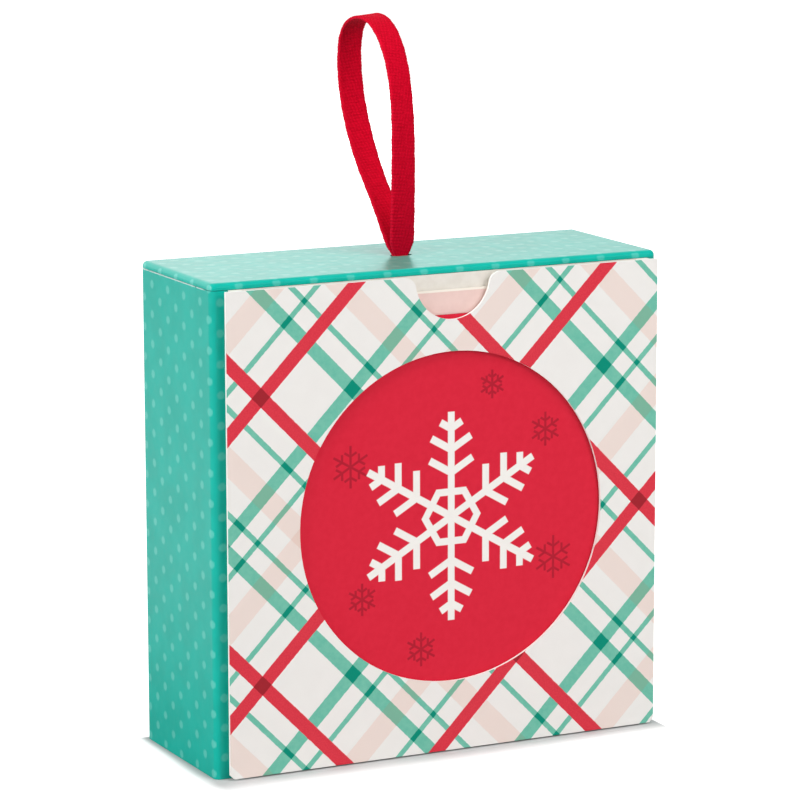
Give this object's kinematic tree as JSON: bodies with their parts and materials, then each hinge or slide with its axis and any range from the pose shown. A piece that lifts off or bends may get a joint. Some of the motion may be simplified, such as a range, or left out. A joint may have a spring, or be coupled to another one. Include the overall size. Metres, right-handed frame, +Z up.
{
  "type": "gift card holder",
  "caption": "Upright paper-wrapped gift box whose drawer lifts out by a ribbon loop, with a windowed front pocket that holds a slide-out card insert.",
  "frame": {"origin": "middle of the base, on the surface it stands on, centred in width and in overall depth without the ribbon loop", "axes": "+Z up, +X to the right as seen from the front, -Y towards the front with the windowed pocket"},
  "size_m": [0.102, 0.0451, 0.1509],
  "materials": {
    "greyboard": "matte",
    "teal_wrap": "satin laminate with pale dots",
    "white_paper": "matte",
    "plaid_card": "matte print",
    "cream_card": "matte",
    "pink_card": "matte print",
    "red_card": "matte print",
    "tape": "matte",
    "ribbon": "twill weave"
  },
  "bodies": {
    "sleeve": {"sleeve_base_sheet": "teal_wrap", "sleeve_bottom_board": "greyboard", "sleeve_front_board": "greyboard", "sleeve_back_board": "greyboard", "sleeve_left_board": "greyboard", "sleeve_right_board": "greyboard", "sleeve_wrap": "teal_wrap", "sleeve_liner": "white_paper", "pocket_back_card": "cream_card", "pocket_spacer_left": "cream_card", "pocket_spacer_right": "cream_card", "pocket_spacer_bottom": "cream_card", "pocket_front_panel": "plaid_card"},
    "drawer": {"lid_board": "greyboard", "lid_wrap": "teal_wrap", "lid_lining": "white_paper", "tray_head_wall": "white_paper", "tray_back_board": "white_paper", "tray_left_wall": "white_paper", "tray_right_wall": "white_paper", "tray_foot_wall": "white_paper", "tray_lining": "white_paper", "ribbon_knot": "ribbon"},
    "insert": {"insert_carrier_card": "pink_card", "insert_tape": "tape", "insert_front_card": "red_card"},
    "ribbon": {"ribbon_loop": "ribbon"}
  },
  "joints": [
    {"name": "drawer_lift", "type": "slide", "parent": "sleeve", "child": "drawer", "axis": [0, 0, 1], "range_m": [0, 0.1]},
    {"name": "insert_slide", "type": "slide", "parent": "sleeve", "child": "insert", "axis": [0, 0, 1], "range_m": [0, 0.1]},
    {"name": "ribbon_bend", "type": "hinge", "parent": "drawer", "child": "ribbon", "pos_m": [0.0001, 0.0011, 0.1028], "axis": [1, 0, 0], "range_deg": [-38, 27], "stiffness_Nm_per_rad": 0.002}
  ]
}
